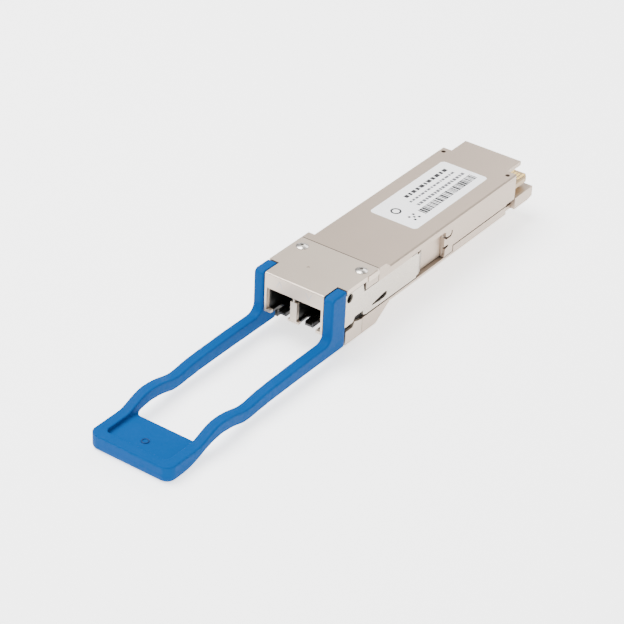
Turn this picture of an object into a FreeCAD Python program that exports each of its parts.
import FreeCAD, Part
import os
import math

# Pluggable optical transceiver: die-cast body, duplex optical receptacle at the
# front, edge-card contacts at the rear, spring-returned release slider with a
# moulded pull tab.
# Datum of the construction: Y = 0 is the front face of the nose, Z = 0 is the
# top plane of the body, X = 0 is the middle.  Every finished piece is moved by
# the same placement, so that the origin ends under the middle of the whole part.

V = FreeCAD.Vector
doc = FreeCAD.newDocument("transceiver")

sheet = doc.addObject("Spreadsheet::Sheet", "dims")
TABLE = [
    ("half_width", 9.175), ("body_height", 8.5), ("body_front", 15.05),
    ("body_rear", 65.1), ("tongue_half", 6.88), ("tongue_end", 70.55),
    ("shroud_top", 5.85), ("shroud_end", 72.4), ("cover_plate", 1.2),
    ("wall_inner", 7.9), ("wall_bottom", 6.0), ("head_top", 1.25),
    ("nose_half", 6.85), ("belly_depth", 11.2), ("port_pitch_half", 3.125),
    ("port_axis_depth", 4.6), ("card_top", 3.5), ("card_thick", 1.0),
    ("card_half", 8.2), ("card_end", 72.2), ("groove_floor", 8.5),
    ("pocket_floor", 8.2), ("arm_inner", 8.72), ("arm_outer", 9.12),
    ("bar_inner", 7.05), ("bar_outer", 9.3), ("grip_front", 48.9),
    ("grip_rear", 40.4), ("grip_half", 9.3), ("grip_top", 9.7),
    ("grip_bottom", 13.1), ("contact_pitch", 0.8), ("contact_width", 0.54),
    ("contact_length", 1.9), ("label_x0", 5.8), ("label_x1", 5.41),
    ("label_y0", 33.2), ("label_y1", 60.1), ("ferrule_bore", 0.626),
    ("sleeve_radius", 1.05), ("shift_y", 11.75), ("shift_z", 13.1), ("seam", 0.28), ("label_thick", 0.08),
]
for row, (name, value) in enumerate(TABLE, 1):
    sheet.set("A%d" % row, name)
    sheet.set("B%d" % row, str(value))
    sheet.setAlias("B%d" % row, name)
doc.recompute()
D = dict(TABLE)
S = "dims."


CORNER = {}


def bind(obj, prop, text):
    if isinstance(text, (int, float)):
        text = repr(float(text))
    obj.setExpression(prop, text)


def box(name, x0, x1, y0, y1, z0, z1):
    o = doc.addObject("Part::Box", name)
    for prop, a, b in (("Length", x0, x1), ("Width", y0, y1), ("Height", z0, z1)):
        bind(o, prop, "(%s) - (%s)" % (b, a))
    bind(o, "Placement.Base.x", x0)
    bind(o, "Placement.Base.y", y0)
    bind(o, "Placement.Base.z", z0)
    CORNER[o.Name] = (y0, z0)
    return o


def cyl(name, r, h, x, y, z, axis="z"):
    o = doc.addObject("Part::Cylinder", name)
    bind(o, "Radius", r)
    bind(o, "Height", h)
    rot = {"z": FreeCAD.Rotation(),
           "y": FreeCAD.Rotation(V(1, 0, 0), -90),
           "x": FreeCAD.Rotation(V(0, 1, 0), 90)}[axis]
    o.Placement = FreeCAD.Placement(V(0, 0, 0), rot)
    bind(o, "Placement.Base.x", x)
    bind(o, "Placement.Base.y", y)
    bind(o, "Placement.Base.z", z)
    return o


def prism(name, pts, direction, length):
    """closed polygon through 3-D points, pushed along direction"""
    p = doc.addObject("Part::Polygon", name + "_outline")
    p.Nodes = [V(*q) for q in pts]
    p.Close = True
    e = doc.addObject("Part::Extrusion", name)
    e.Base = p
    e.DirMode = "Custom"
    e.Dir = V(*direction)
    e.Solid = True
    bind(e, "LengthFwd", length)
    return e


def prism_yz(name, pts, x0, x1):
    return prism(name, [(x0, y, z) for y, z in pts], (1, 0, 0), x1 - x0)


def prism_xy(name, pts, z0, z1):
    return prism(name, [(x, y, z0) for x, y in pts], (0, 0, 1), z1 - z0)


def prism_xz(name, pts, y0, y1):
    return prism(name, [(x, y0, z) for x, z in pts], (0, 1, 0), y1 - y0)


def fuse(name, parts):
    o = doc.addObject("Part::MultiFuse", name)
    o.Shapes = parts
    o.Refine = True
    return o


def cut(name, base, tools):
    tool = tools[0] if len(tools) == 1 else fuse(name + "_tool", tools)
    o = doc.addObject("Part::Cut", name)
    o.Base = base
    o.Tool = tool
    o.Refine = True
    return o


def fillet(name, base, radius, pick):
    doc.recompute()
    o = doc.addObject("Part::Fillet", name)
    o.Base = base
    edges = []
    for i, e in enumerate(base.Shape.Edges, 1):
        if pick(e):
            edges.append((i, radius, radius))
    o.Edges = edges
    return o


def vertical(e):
    vs = e.Vertexes
    if len(vs) != 2:
        return False
    a, b = vs[0].Point, vs[1].Point
    return abs(a.x - b.x) < 1e-6 and abs(a.y - b.y) < 1e-6


FINAL = []


def finish(obj, node):
    obj.Label = node
    y0, z0 = CORNER.get(obj.Name, (0, 0))
    obj.setExpression("Placement.Base.y", "(%s) - dims.shift_y" % y0)
    obj.setExpression("Placement.Base.z", "(%s) + dims.shift_z" % z0)
    FINAL.append((obj, node))
    return obj


W = D["half_width"]
HT = D["head_top"]

# ------------------------------------------------------------------ top cover
tc_plate = box("tc_plate", "-dims.half_width", "dims.half_width",
               "dims.body_front", "dims.body_rear", "-dims.cover_plate", 0)
tc_wl = box("tc_wall_left", "-dims.half_width", "-dims.wall_inner",
            "dims.body_front", "dims.body_rear", "-dims.wall_bottom", "-dims.cover_plate + 0.2")
tc_wfl = box("tc_wall_front_left", "-dims.half_width", "-dims.wall_inner + 0.1",
             "dims.body_front", 41.6, -7.42, "-dims.cover_plate + 0.2")
tc_wfr = box("tc_wall_front_right", "dims.wall_inner - 0.1", "dims.half_width",
             "dims.body_front", 41.6, -7.42, "-dims.cover_plate + 0.2")
tc_wr = box("tc_wall_right", "dims.wall_inner", "dims.half_width",
            "dims.body_front", "dims.body_rear", "-dims.wall_bottom", "-dims.cover_plate + 0.2")
tc_tongue = box("tc_tongue", "-dims.tongue_half", "dims.tongue_half",
                "dims.body_rear - 1", "dims.tongue_end", -0.9, 0)
tc_ridge = prism_yz("tc_ridge", [(15.05, -0.6), (15.05, HT), (17.2, HT), (18.9, 0.0), (18.9, -0.6)], -W, W)
tc_rib1 = box("tc_rib_front", -7.95, 7.95, 30.6, 31.4, -2.2, -1.1)
tc_rib2 = box("tc_rib_rear", -7.95, 7.95, 61.2, 62.4, -2.9, -1.1)
tc_solid = fuse("tc_solid", [tc_plate, tc_wl, tc_wr, tc_wfl, tc_wfr, tc_tongue, tc_ridge, tc_rib1, tc_rib2])
tc_tools = []
for side, s in (("l", -1), ("r", 1)):
    def sp(a, b):
        return (min(s * a, s * b), max(s * a, s * b))
    x0, x1 = sp(D["groove_floor"], W + 1)
    tc_tools.append(box("tc_groove_" + side, x0, x1, 14.0, 27.0, -7.9, -1.7))
    x0, x1 = sp(D["pocket_floor"], W + 1)
    tc_tools.append(box("tc_pocket_" + side, x0, x1, 26.5, 38.3, -7.9, -1.55))
    tc_tools.append(cyl("tc_hole_" + side, 0.5, 1.0, s * 7.9, 63.6, -0.6))
    # u-shaped outline of the cast-in clip behind the latch pocket
    x0, x1 = sp(W - 0.55, W + 1)
    clip = [(38.3, -1.75), (38.75, -1.75), (38.75, -2.75), (39.1, -3.05), (40.35, -3.05), (40.75, -2.7), (40.75, -2.2),
            (41.15, -2.2), (41.15, -2.95), (40.6, -3.5), (38.9, -3.5), (38.3, -2.95)]
    tc_tools.append(prism_yz("tc_clip_" + side, clip, x0, x1))
    # lower rear corner of the pocket
    tc_tools.append(prism_yz("tc_corner_" + side, [(38.0, -7.9), (38.0, -5.0), (39.9, -5.0), (39.9, -5.45), (38.75, -5.7),
                                                   (38.75, -7.0), (38.0, -7.9)][:-1], x0, x1))
    # small step under the rear end of the wall
    tc_tools.append(box("tc_rear_step_" + side, x0, x1, 62.0, 66.0, -7.6, -5.75))
    # broken long top edges
    tc_tools.append(prism_xz("tc_edge_" + side, [(s * (W + 0.1), 0.1), (s * (W - 0.28), 0.1), (s * (W - 0.28), 0.0),
                                                 (s * W, -0.28), (s * (W + 0.1), -0.28)], 18.9, 66.0))
# shallow recess that takes the label flush with the heat face
recess_blank = box("recess_blank", "-dims.label_x0", "dims.label_x1", "dims.label_y0", "dims.label_y1", "-dims.label_thick", 1)
tc_tools.append(fillet("recess_round", recess_blank, 0.9, vertical))
tc = cut("tc_cut", tc_solid, tc_tools)
finish(tc, "top_cover")

# ------------------------------------------------------------- bottom housing
bh_floor = box("bh_floor", "-dims.half_width", "dims.half_width", 14.0, 62.0,
               "-dims.body_height", -7.6)
bh_floor2 = box("bh_floor_rear", -8.2, 8.2, 61.0, 66.0, "-dims.body_height", -7.6)
bh_sl = box("bh_strip_left", "-dims.half_width", "-dims.wall_inner", 41.9, 61.9, -8.0, "-dims.wall_bottom - dims.seam")
bh_sr = box("bh_strip_right", "dims.wall_inner", "dims.half_width", 41.9, 61.9, -8.0, "-dims.wall_bottom - dims.seam")
bh_lip_l = box("bh_lip_left", -7.7, -7.0, 19.5, 61.0, -8.0, -5.2)
bh_lip_r = box("bh_lip_right", 7.0, 7.7, 19.5, 61.0, -8.0, -5.2)
bh_shroud = prism_yz("bh_shroud", [(65.5, -5.85), (72.4, -5.85), (72.4, -8.1), (70.9, -8.5), (65.5, -8.5)], -W, W)
bh_belly = prism_yz("bh_belly", [(10.12, -11.2), (14.8, -11.2), (18.9, -8.5), (20.0, -8.5), (20.0, -7.6),
                                 (10.12, -7.6)], -W, W)
bh_wall = box("bh_rear_wall", -7.6, 7.6, 61.4, 62.2, -8.0, -5.1)
bh_post_l = cyl("bh_post_left", 1.1, 3.2, -6.0, 58.6, -7.7)
bh_post_r = cyl("bh_post_right", 1.1, 3.2, 6.0, 58.6, -7.7)
bh_solid = fuse("bh_solid", [bh_floor, bh_floor2, bh_sl, bh_sr, bh_lip_l, bh_lip_r, bh_shroud, bh_belly,
                             bh_wall, bh_post_l, bh_post_r])
bh_tools = [
    box("bh_belly_front", -6.7, 6.7, 9.0, 12.6, -12, -7.0),
    box("bh_belly_room", -6.4, 6.4, 12.0, 16.4, -9.3, -7.0),
    cyl("bh_screw_hole_l", 0.8, 5.0, -6.0, 58.6, -9.0),
    cyl("bh_screw_hole_r", 0.8, 5.0, 6.0, 58.6, -9.0),
    cyl("bh_screw_sink_l", 1.35, 1.0, -6.0, 58.6, -8.8),
    cyl("bh_screw_sink_r", 1.35, 1.0, 6.0, 58.6, -8.8),
]
for s, t in ((-1, "l"), (1, "r")):
    bh_tools.append(prism_xz("bh_edge_" + t, [(s * (W + 0.1), -8.6), (s * (W - 0.35), -8.6), (s * (W - 0.35), -8.5),
                                              (s * W, -8.15), (s * (W + 0.1), -8.15)], 19.2, 63.0))
bh = cut("bh_cut", bh_solid, bh_tools)
finish(bh, "bottom_housing")

# ---------------------------------------------------------------- nose frame
nf_l = box("nf_side_left", "-dims.groove_floor", -6.25, 4.6, 14.95, -7.45, 0.2)
nf_r = box("nf_side_right", 6.25, "dims.groove_floor", 4.6, 14.95, -7.45, 0.2)
nf_fl = box("nf_front_left", "-dims.nose_half", -6.25, 0.9, 5.0, -7.45, 0.2)
nf_fr = box("nf_front_right", 6.25, "dims.nose_half", 0.9, 5.0, -7.45, 0.2)
nf_roof = box("nf_roof", -6.5, 6.5, 0.9, 14.95, -1.7, 0.2)
nf_cl = prism_yz("nf_cheek_left", [(4.6, -11.2), (10.0, -11.2), (10.0, -7.72), (8.6, -7.45), (7.4, -7.1), (6.8, -8.1), (4.6, -8.1)],
                 -W, -6.9)
nf_cr = prism_yz("nf_cheek_right", [(4.6, -11.2), (10.0, -11.2), (10.0, -7.72), (8.6, -7.45), (7.4, -7.1), (6.8, -8.1), (4.6, -8.1)],
                 6.9, W)
nf_lipl = box("nf_rear_lip_left", "-dims.groove_floor", -6.9, 9.0, 14.95, -7.5, -7.1)
nf_lipr = box("nf_rear_lip_right", 6.9, "dims.groove_floor", 9.0, 14.95, -7.5, -7.1)
nf_linkl = box("nf_link_left", -8.5, -6.9, 4.6, 10.0, -9.0, -7.0)
nf_linkr = box("nf_link_right", 6.9, 8.5, 4.6, 10.0, -9.0, -7.0)
nf_shl = box("nf_shoulder_left", -9.12, -8.3, 10.8, 14.95, -1.58, 0.2)
nf_shr = box("nf_shoulder_right", 8.3, 9.12, 10.8, 14.95, -1.58, 0.2)
nf_solid = fuse("nf_solid", [nf_shl, nf_shr, nf_l, nf_r, nf_fl, nf_fr, nf_roof, nf_cl, nf_cr, nf_lipl, nf_lipr, nf_linkl, nf_linkr])
nf = cut("nf_cut", nf_solid, [
    box("nf_spring_room_l", -9.6, -6.75, 7.5, 13.9, -6.9, -4.9),
    box("nf_spring_room_r", 6.75, 9.6, 7.5, 13.9, -6.9, -4.9),
    cyl("nf_thread_l", 0.6, 3.0, -7.0, 12.1, -2.6),
    cyl("nf_thread_r", 0.6, 3.0, 7.0, 12.1, -2.6),
])
finish(nf, "nose_frame")

# ---------------------------------------------------------------- nose cover
N = D["nose_half"]
nc_top = prism_xy("nc_top", [(-N, 0.0), (N, 0.0), (N, 4.45), (W, 4.45), (W, 14.95), (-W, 14.95), (-W, 4.45), (-N, 4.45)],
                  0.25, HT)
LIP = [(11.3, 0.2), (11.55, -0.1), (14.6, -0.1), (14.95, 0.25), (14.95, 0.8), (14.6, 1.1), (11.3, 1.1)]
nc_front = box("nc_front", "-dims.nose_half", "dims.nose_half", 0, 0.85, -7.45, 0.5)
nc_flip_l = prism_yz("nc_side_lip_left", LIP, -9.32, -9.13)
nc_flip_r = prism_yz("nc_side_lip_right", LIP, 9.13, 9.32)
nc_solid = fuse("nc_solid", [nc_top, nc_front, nc_flip_l, nc_flip_r])
nc_open = box("nc_port_opening", -6.35, 6.35, -1, 0.55, -8, -2.0)
nc_open2 = prism_xz("nc_port_inner", [(-6.2, -2.05), (6.2, -2.05), (6.2, -6.9), (5.3, -6.9), (5.3, -8.0), (-5.3, -8.0),
                                      (-5.3, -6.9), (-6.2, -6.9)], -1.0, 2.0)
nc_cut = cut("nc_cut", nc_solid, [nc_open, nc_open2,
                                  cyl("nc_dimple", 0.3, 0.3, -1.54, 6.6, HT - 0.12),
                                  cyl("nc_screw_l", 0.85, 2.0, -7.0, 12.1, -0.2),
                                  cyl("nc_screw_r", 0.85, 2.0, 7.0, 12.1, -0.2)])
nc_feet = [box("nc_foot_left", -6.4, -5.3, 0, 0.85, -7.45, -6.9), box("nc_foot_right", 5.3, 6.4, 0, 0.85, -7.45, -6.9)]
nc_div = prism_xz("nc_divider", [(-0.13, -1.9), (0.13, -1.9), (0.13, -2.9), (0.75, -2.9), (0.75, -6.95), (1.3, -6.95),
                                 (1.3, -7.45), (-1.3, -7.45), (-1.3, -6.95), (-0.75, -6.95), (-0.75, -2.9), (-0.13, -2.9)],
                  0.05, 0.85)
nc_all = fuse("nc_all", [nc_cut, nc_div] + nc_feet)
nc = fillet("nc_round", nc_all, 0.3,
            lambda e: len(e.Vertexes) == 2 and all(
                abs(v.Point.z - HT) < 1e-4 and abs(v.Point.y) < 1e-4 and abs(v.Point.x) < 6.9 for v in e.Vertexes))
finish(nc, "nose_cover")

# ---------------------------------------------------------------- nose screws
for node, x in (("nose_screw_left", -7.0), ("nose_screw_right", 7.0)):
    head = doc.addObject("Part::Sphere", node + "_dome")
    head.Radius = 2.6
    head.Placement.Base = V(x, 12.1, HT + 0.42 - 2.6)
    keep = cyl(node + "_keep", 1.25, 1.0, x, 12.1, HT)
    dome = doc.addObject("Part::Common", node + "_head")
    dome.Base = head
    dome.Tool = keep
    shank = cyl(node + "_shank", 0.5, 3.6, x, 12.1, -2.3)
    body = fuse(node + "_body", [dome, shank])
    slot = cyl(node + "_socket", 0.32, 0.4, x, 12.1, HT + 0.22)
    finish(cut(node + "_cut", body, [slot]), node)

# --------------------------------------------------------------- base screws
for node, x in (("base_screw_left", -6.0), ("base_screw_right", 6.0)):
    head = cyl(node + "_head", 1.25, 0.6, x, 58.6, -8.4)
    shank = cyl(node + "_shank", 0.7, 3.2, x, 58.6, -8.3)
    body = fuse(node + "_body", [head, shank])
    hexa = doc.addObject("Part::Prism", node + "_socket")
    hexa.Polygon = 6
    hexa.Circumradius = 0.6
    hexa.Height = 0.8
    hexa.Placement.Base = V(x, 58.6, -8.8)
    finish(cut(node + "_cut", body, [hexa]), node)

# ------------------------------------------------------------- lc receptacle
P = D["port_pitch_half"]
lc_block = box("lc_block", -6.2, 6.2, 0.9, 12.0, -7.4, -1.75)
lc_tools = []
for s, t in ((-1, "l"), (1, "r")):
    a, b = sorted((s * 0.7, s * 5.95))
    lc_tools.append(box("lc_cavity_" + t, a, b, 0, 10.6, -6.95, -2.1))
    # floor slots in front, on each side of the u-shaped floor channel
    a, b = sorted((s * 1.2, s * 2.2))
    lc_tools.append(box("lc_slot_a_" + t, a, b, 0, 3.4, -8, -6.0))
    a, b = sorted((s * 4.05, s * 5.2))
    lc_tools.append(box("lc_slot_b_" + t, a, b, 0, 3.4, -8, -6.0))
    lc_tools.append(cyl("lc_rear_" + t, 1.1, 4, s * P, 10, -4.6, "y"))
lc_main = cut("lc_main", lc_block, lc_tools)
lc_ribs = []
for s, t in ((-1, "l"), (1, "r")):
    for k, q in enumerate((2.2, 3.87)):
        a, b = sorted((s * q, s * (q + 0.18)))
        lc_ribs.append(box("lc_channel_%s%d" % (t, k), a, b, 0.9, 5.2, -7.0, -6.45))
finish(fuse("lc_all", [lc_main] + lc_ribs), "lc_receptacle")

# ----------------------------------------------- ferrule sleeves and optics
for node, x in (("sleeve_left", -P), ("sleeve_right", P)):
    tube = cyl(node + "_tube", "dims.sleeve_radius", 7.1, x, 5.7, -4.6, "y")
    boss = cyl(node + "_boss", 1.6, 0.7, x, 12.1, -4.6, "y")
    allr = fuse(node + "_solid", [tube, boss])
    bore = cyl(node + "_bore", "dims.ferrule_bore", 5.2, x, 5.2, -4.6, "y")
    slit = box(node + "_slit", x - 0.08, x + 0.08, 5.0, 10.0, -4.6, -3.2)
    finish(cut(node + "_cut", allr, [bore, slit]), node)

clamp = box("oc_plate", -6.0, 6.0, 12.1, 13.2, -7.3, -1.8)
finish(cut("oc_cut", clamp, [cyl("oc_hole_l", 1.65, 3, -P, 11.5, -4.6, "y"),
                             cyl("oc_hole_r", 1.65, 3, P, 11.5, -4.6, "y")]), "optics_clamp")

tosa_a = box("ts_body", -6.6, -0.35, 15.1, 26.4, -7.0, -2.0)
tosa_b = cyl("ts_barrel", 1.5, 2.4, -P, 12.85, -4.6, "y")
finish(fuse("ts_all", [tosa_a, tosa_b]), "tosa_package")
rosa_a = box("rs_body", 0.35, 6.2, 15.1, 24.6, -6.8, -2.2)
rosa_b = cyl("rs_barrel", 1.5, 2.4, P, 12.85, -4.6, "y")
finish(fuse("rs_all", [rosa_a, rosa_b]), "rosa_package")

finish(prism_yz("tosa_flex_strip", [(26.45, -5.0), (27.5, -5.0), (28.3, -3.35), (30.4, -3.35), (30.4, -3.49), (28.45, -3.49),
                                    (27.65, -5.14), (26.45, -5.14)], -5.4, -1.3), "tosa_flex")
finish(prism_yz("rosa_flex_strip", [(24.65, -5.0), (27.5, -5.0), (28.3, -3.35), (30.4, -3.35), (30.4, -3.49), (28.45, -3.49),
                                    (27.65, -5.14), (24.65, -5.14)], 1.3, 5.4), "rosa_flex")

# -------------------------------------------------------------------- board
pcb_in = box("pcb_inner", -6.9, 6.9, 28.9, 64.0, "-dims.card_top - dims.card_thick", "-dims.card_top")
pcb_wide = box("pcb_mid", -7.7, 7.7, 62.6, 65.4, "-dims.card_top - dims.card_thick", "-dims.card_top")
pcb_edge = prism_xy("pcb_edge", [(-7.7, 65.2), (7.7, 65.2), (8.2, 65.3), (8.2, 71.0), (7.35, 72.2), (-7.35, 72.2), (-8.2, 71.0),
                                 (-8.2, 65.3)], -4.5, -3.5)
pcb_solid = fuse("pcb_solid", [pcb_in, pcb_wide, pcb_edge])
pcb = cut("pcb_cut", pcb_solid, [cyl("pcb_hole_l", 0.85, 3, -6.0, 58.6, -5.5), cyl("pcb_hole_r", 0.85, 3, 6.0, 58.6, -5.5)])
finish(pcb, "main_board")


def contact_row(prefix, z0, z1):
    pads = []
    first = None
    for i in range(19):
        x = (i - 9) * D["contact_pitch"] * 1.0
        longer = i in (0, 3, 6, 12, 15, 18)
        y1 = 71.75 if longer else 71.35
        pads.append(box("%s_%02d" % (prefix, i), x - 0.27, x + 0.27, 68.9, y1, z0, z1))
    c = doc.addObject("Part::Compound", prefix + "_group")
    c.Links = pads
    return c


finish(contact_row("contact_top", -3.5, -3.46), "contacts_top")
finish(contact_row("contact_bottom", -4.54, -4.5), "contacts_bottom")

# --------------------------------------------------------- board components
finish(box("cdr_tx", -5.6, -0.4, 33.4, 38.8, -3.5, -2.55), "cdr_chip_tx")
finish(box("cdr_rx", 0.8, 5.8, 33.6, 38.6, -3.5, -2.6), "cdr_chip_rx")
finish(box("mcu_body", -2.6, 3.4, 45.2, 51.2, -3.5, -2.7), "controller_chip")
finish(box("reg_body", -5.9, -3.5, 46.0, 49.2, -3.5, -2.5), "regulator_chip")
inds = []
for k, (x, y) in enumerate(((4.6, 45.4), (4.6, 49.0), (-5.8, 52.4))):
    inds.append(box("inductor_%d" % k, x, x + 2.0, y, y + 2.0, -3.5, -2.3))
ic = doc.addObject("Part::Compound", "inductor_group")
ic.Links = inds
finish(ic, "inductors")
caps = []
k = 0
for y in (31.4, 40.2, 41.4, 53.2, 54.4, 56.0):
    for x in (-4.6, -3.0, -1.4, 0.4, 2.0, 3.6):
        if y > 53 and x < -2.6:
            continue
        caps.append(box("passive_%02d" % k, x, x + 1.0, y, y + 0.5, -3.5, -3.0))
        k += 1
cc = doc.addObject("Part::Compound", "passive_group")
cc.Links = caps
finish(cc, "passives")
finish(box("pad_chips", -5.4, 5.6, 33.8, 38.4, -2.55, -1.2), "thermal_pad_chips")
finish(box("pad_optics", -6.2, -0.8, 17.0, 25.0, -2.0, -1.2), "thermal_pad_optics")
gl = box("gasket_left", -8.55, -8.05, 42.2, 61.6, -6.28, -6.0)
gr = box("gasket_right", 8.05, 8.55, 42.2, 61.6, -6.28, -6.0)
gg = doc.addObject("Part::Compound", "gasket_group")
gg.Links = [gl, gr]
finish(gg, "emi_gasket")

# --------------------------------------------------------------------- label
lb = box("label_blank", "-dims.label_x0", "dims.label_x1", "dims.label_y0", "dims.label_y1", "-dims.label_thick", 0)
finish(fillet("label_round", lb, 0.9, vertical), "label")

# ------------------------------------------------------------- release arms
ARM = [(1.2, 0.1), (9.85, 0.1), (10.35, -1.75), (28.6, -1.75), (28.6, -7.4), (11.4, -7.3), (10.3, -6.95), (10.3, -6.0),
       (7.5, -6.0), (6.9, -7.0), (4.5, -7.0), (1.2, -6.6)]
LEAF = [(13.2, -6.05), (15.9, -5.55), (17.9, -5.25), (18.3, -5.6), (18.25, -6.15), (17.6, -6.5), (15.8, -6.55), (13.4, -6.35)]
for node, s in (("release_arm_left", -1), ("release_arm_right", 1)):
    x0, x1 = sorted((s * D["arm_inner"], s * D["arm_outer"]))
    plate = prism_yz(node + "_plate", ARM, x0, x1)
    tip = prism_xy(node + "_tip", [(s * 8.72, 28.5), (s * 9.12, 28.5), (s * 9.12, 28.9), (s * 9.02, 29.5), (s * 8.82, 30.2),
                                   (s * 8.66, 30.7), (s * 8.36, 30.45), (s * 8.56, 29.9), (s * 8.68, 29.3), (s * 8.72, 28.9)],
                   -7.0, -2.2)
    a, b = sorted((s * 7.0, s * 8.8))
    foot = box(node + "_foot", a, b, 12.3, 13.2, -6.75, -5.05)
    solid = fuse(node + "_solid", [plate, tip, foot])
    leaf = prism_yz(node + "_leaf", LEAF, min(s * 8.6, s * 9.3), max(s * 8.6, s * 9.3))
    hole = cyl(node + "_hole", 1.0, 1.0, min(s * 8.5, s * 9.5), 5.5, -0.95, "x")
    finish(cut(node + "_cut", solid, [leaf, hole]), node)

# ------------------------------------------------------------ return springs
for node, s in (("return_spring_left", -1), ("return_spring_right", 1)):
    h = doc.addObject("Part::Helix", node + "_path")
    h.Pitch = 0.72
    h.Height = 4.32
    h.Radius = 0.62
    h.Placement = FreeCAD.Placement(V(s * 7.75, 7.75, -5.9), FreeCAD.Rotation(V(1, 0, 0), -90))
    c = doc.addObject("Part::Circle", node + "_wire")
    c.Radius = 0.13
    c.Placement = FreeCAD.Placement(V(s * 7.75 + 0.62, 7.75, -5.9), FreeCAD.Rotation())
    sw = doc.addObject("Part::Sweep", node + "_coil")
    sw.Sections = [c]
    sw.Spine = (h, [])
    sw.Solid = True
    sw.Frenet = True
    finish(sw, node)

# ------------------------------------------------------------------ pull tab
TOP = [(4.15, 1.3), (0.35, 1.3), (-0.3, 0.75), (-0.3, -6.2)]
RUN_TOP = [(-2.3, -8.25), (-11.0, -8.3), (-17.0, -8.45), (-22.7, -8.8), (-26.2, -9.1), (-29.2, -8.45), (-32.2, -7.95),
           (-34.5, -7.95), (-36.6, -8.45), (-38.4, -9.15), (-40.4, -9.7)]
RUN_BOT = [(-40.4, -11.95), (-39.2, -11.5), (-37.4, -10.9), (-34.7, -10.4), (-31.9, -10.45), (-29.6, -10.85),
           (-27.0, -11.5), (-24.0, -11.45), (-17.5, -11.15), (0.0, -11.1), (4.15, -11.1)]


def smooth(points, x):
    c = Part.BSplineCurve()
    c.interpolate([V(x, y, z) for y, z in points])
    return c.toShape()


rails = []
for t, xa, xb in (("left", -D["bar_outer"], -D["bar_inner"]), ("right", D["bar_inner"], D["bar_outer"])):
    edges = []
    for p, q in zip(TOP[:-1], TOP[1:]):
        edges.append(Part.makeLine(V(xa, *p), V(xa, *q)))
    edges.append(Part.Arc(V(xa, -0.3, -6.2), V(xa, -0.9, -7.66), V(xa, -2.3, -8.25)).toShape())
    edges.append(smooth(RUN_TOP, xa))
    edges.append(Part.makeLine(V(xa, *RUN_TOP[-1]), V(xa, *RUN_BOT[0])))
    edges.append(smooth(RUN_BOT, xa))
    edges.append(Part.makeLine(V(xa, *RUN_BOT[-1]), V(xa, *TOP[0])))
    outline = doc.addObject("Part::Feature", "rail_outline_" + t)
    outline.Shape = Part.Wire(Part.__sortEdges__(edges))
    e = doc.addObject("Part::Extrusion", "rail_" + t)
    e.Base = outline
    e.DirMode = "Custom"
    e.Dir = V(1, 0, 0)
    e.Solid = True
    bind(e, "LengthFwd", "dims.bar_outer - dims.bar_inner")
    rails.append(e)
grip_blank = box("grip_blank", "-dims.grip_half", "dims.grip_half", "-dims.grip_front", "-dims.grip_rear",
                 "-dims.grip_bottom", "-dims.grip_top")
grip_round = fillet("grip_round", grip_blank, 2.0, lambda e: vertical(e) and e.CenterOfMass.y < -45)
grip_soft = fillet("grip_soft", grip_round, 0.8,
                   lambda e: abs(e.BoundBox.ZMin + D["grip_bottom"]) < 1e-3 and abs(e.BoundBox.ZMax + D["grip_bottom"]) < 1e-3
                   and e.CenterOfMass.y < -39)
tray_blank = box("tray_blank", -7.0, 7.0, -46.7, -34.0, -10.75, -9.0)
tray = fillet("tray_round", tray_blank, 1.0, lambda e: vertical(e) and e.CenterOfMass.y < -40)
# underside of the grip rises to meet the rails
under = prism_yz("grip_under", [(-39.9, -11.8), (-39.9, -14.0), (-46.6, -14.0), (-46.6, -13.1), (-45.2, -12.99),
                                (-43.8, -12.79), (-42.6, -12.55), (-41.5, -12.28), (-40.4, -11.95)], -10, 10)
grip_cut = cut("grip_cut", grip_soft, [tray, under])
web_blank = prism_yz("web_blank", [(-40.6, -10.75), (-40.6, -12.05), (-38.2, -11.35), (-36.9, -11.0), (-36.9, -10.75)], -7.05, 7.05)
gap_blank = box("gap_blank", -7.05, 7.05, -38.0, -20.0, -14.0, -8.0)
gap_cut = fillet("gap_round", gap_blank, 1.05, lambda e: vertical(e) and e.CenterOfMass.y < -30)
web = cut("web_cut", web_blank, [gap_cut])
RX, RY = -0.3, -43.7
ring_o = cyl("ring_outer", 0.85, 0.22, RX, RY, -10.8)
ring_i = cyl("ring_inner", 0.5, 1.0, RX, RY, -10.76)
ring = cut("ring_cut", ring_o, [ring_i])
tab_solid = fuse("tab_solid", rails + [grip_cut, web, ring])
slots = []
for s, t in ((-1, "l"), (1, "r")):
    x0, x1 = sorted((s * D["arm_inner"], s * D["arm_outer"]))
    slots.append(prism_yz("tab_slot_" + t, [(1.2, 0.1), (6.0, 0.1), (6.0, -7.0), (4.5, -7.0), (1.2, -6.6)], x0, x1))
tab = cut("tab_cut", tab_solid, slots)
finish(tab, "pull_tab")

# -------------------------------------------------------------------- check
doc.recompute()
bad = [o.Name for o in doc.Objects if "Invalid" in o.State or "Error" in o.State]
if bad:
    raise RuntimeError("objects in error: %s" % bad)
os.makedirs("parts", exist_ok=True)
for obj, node in FINAL:
    shp = obj.Shape
    if shp.isNull() or not shp.isValid():
        raise RuntimeError("bad shape in " + node)
    if shp.Volume <= 0:
        raise RuntimeError("no volume in " + node)
    b = shp.BoundBox
    print("%-22s solids %2d vol %9.3f  x %7.2f %7.2f  y %7.2f %7.2f  z %7.2f %7.2f" % (
        node, len(shp.Solids), shp.Volume, b.XMin, b.XMax, b.YMin, b.YMax, b.ZMin, b.ZMax))
for obj, node in FINAL:
    obj.Shape.exportStep("parts/%s.step" % node)
print("pieces", len(FINAL))
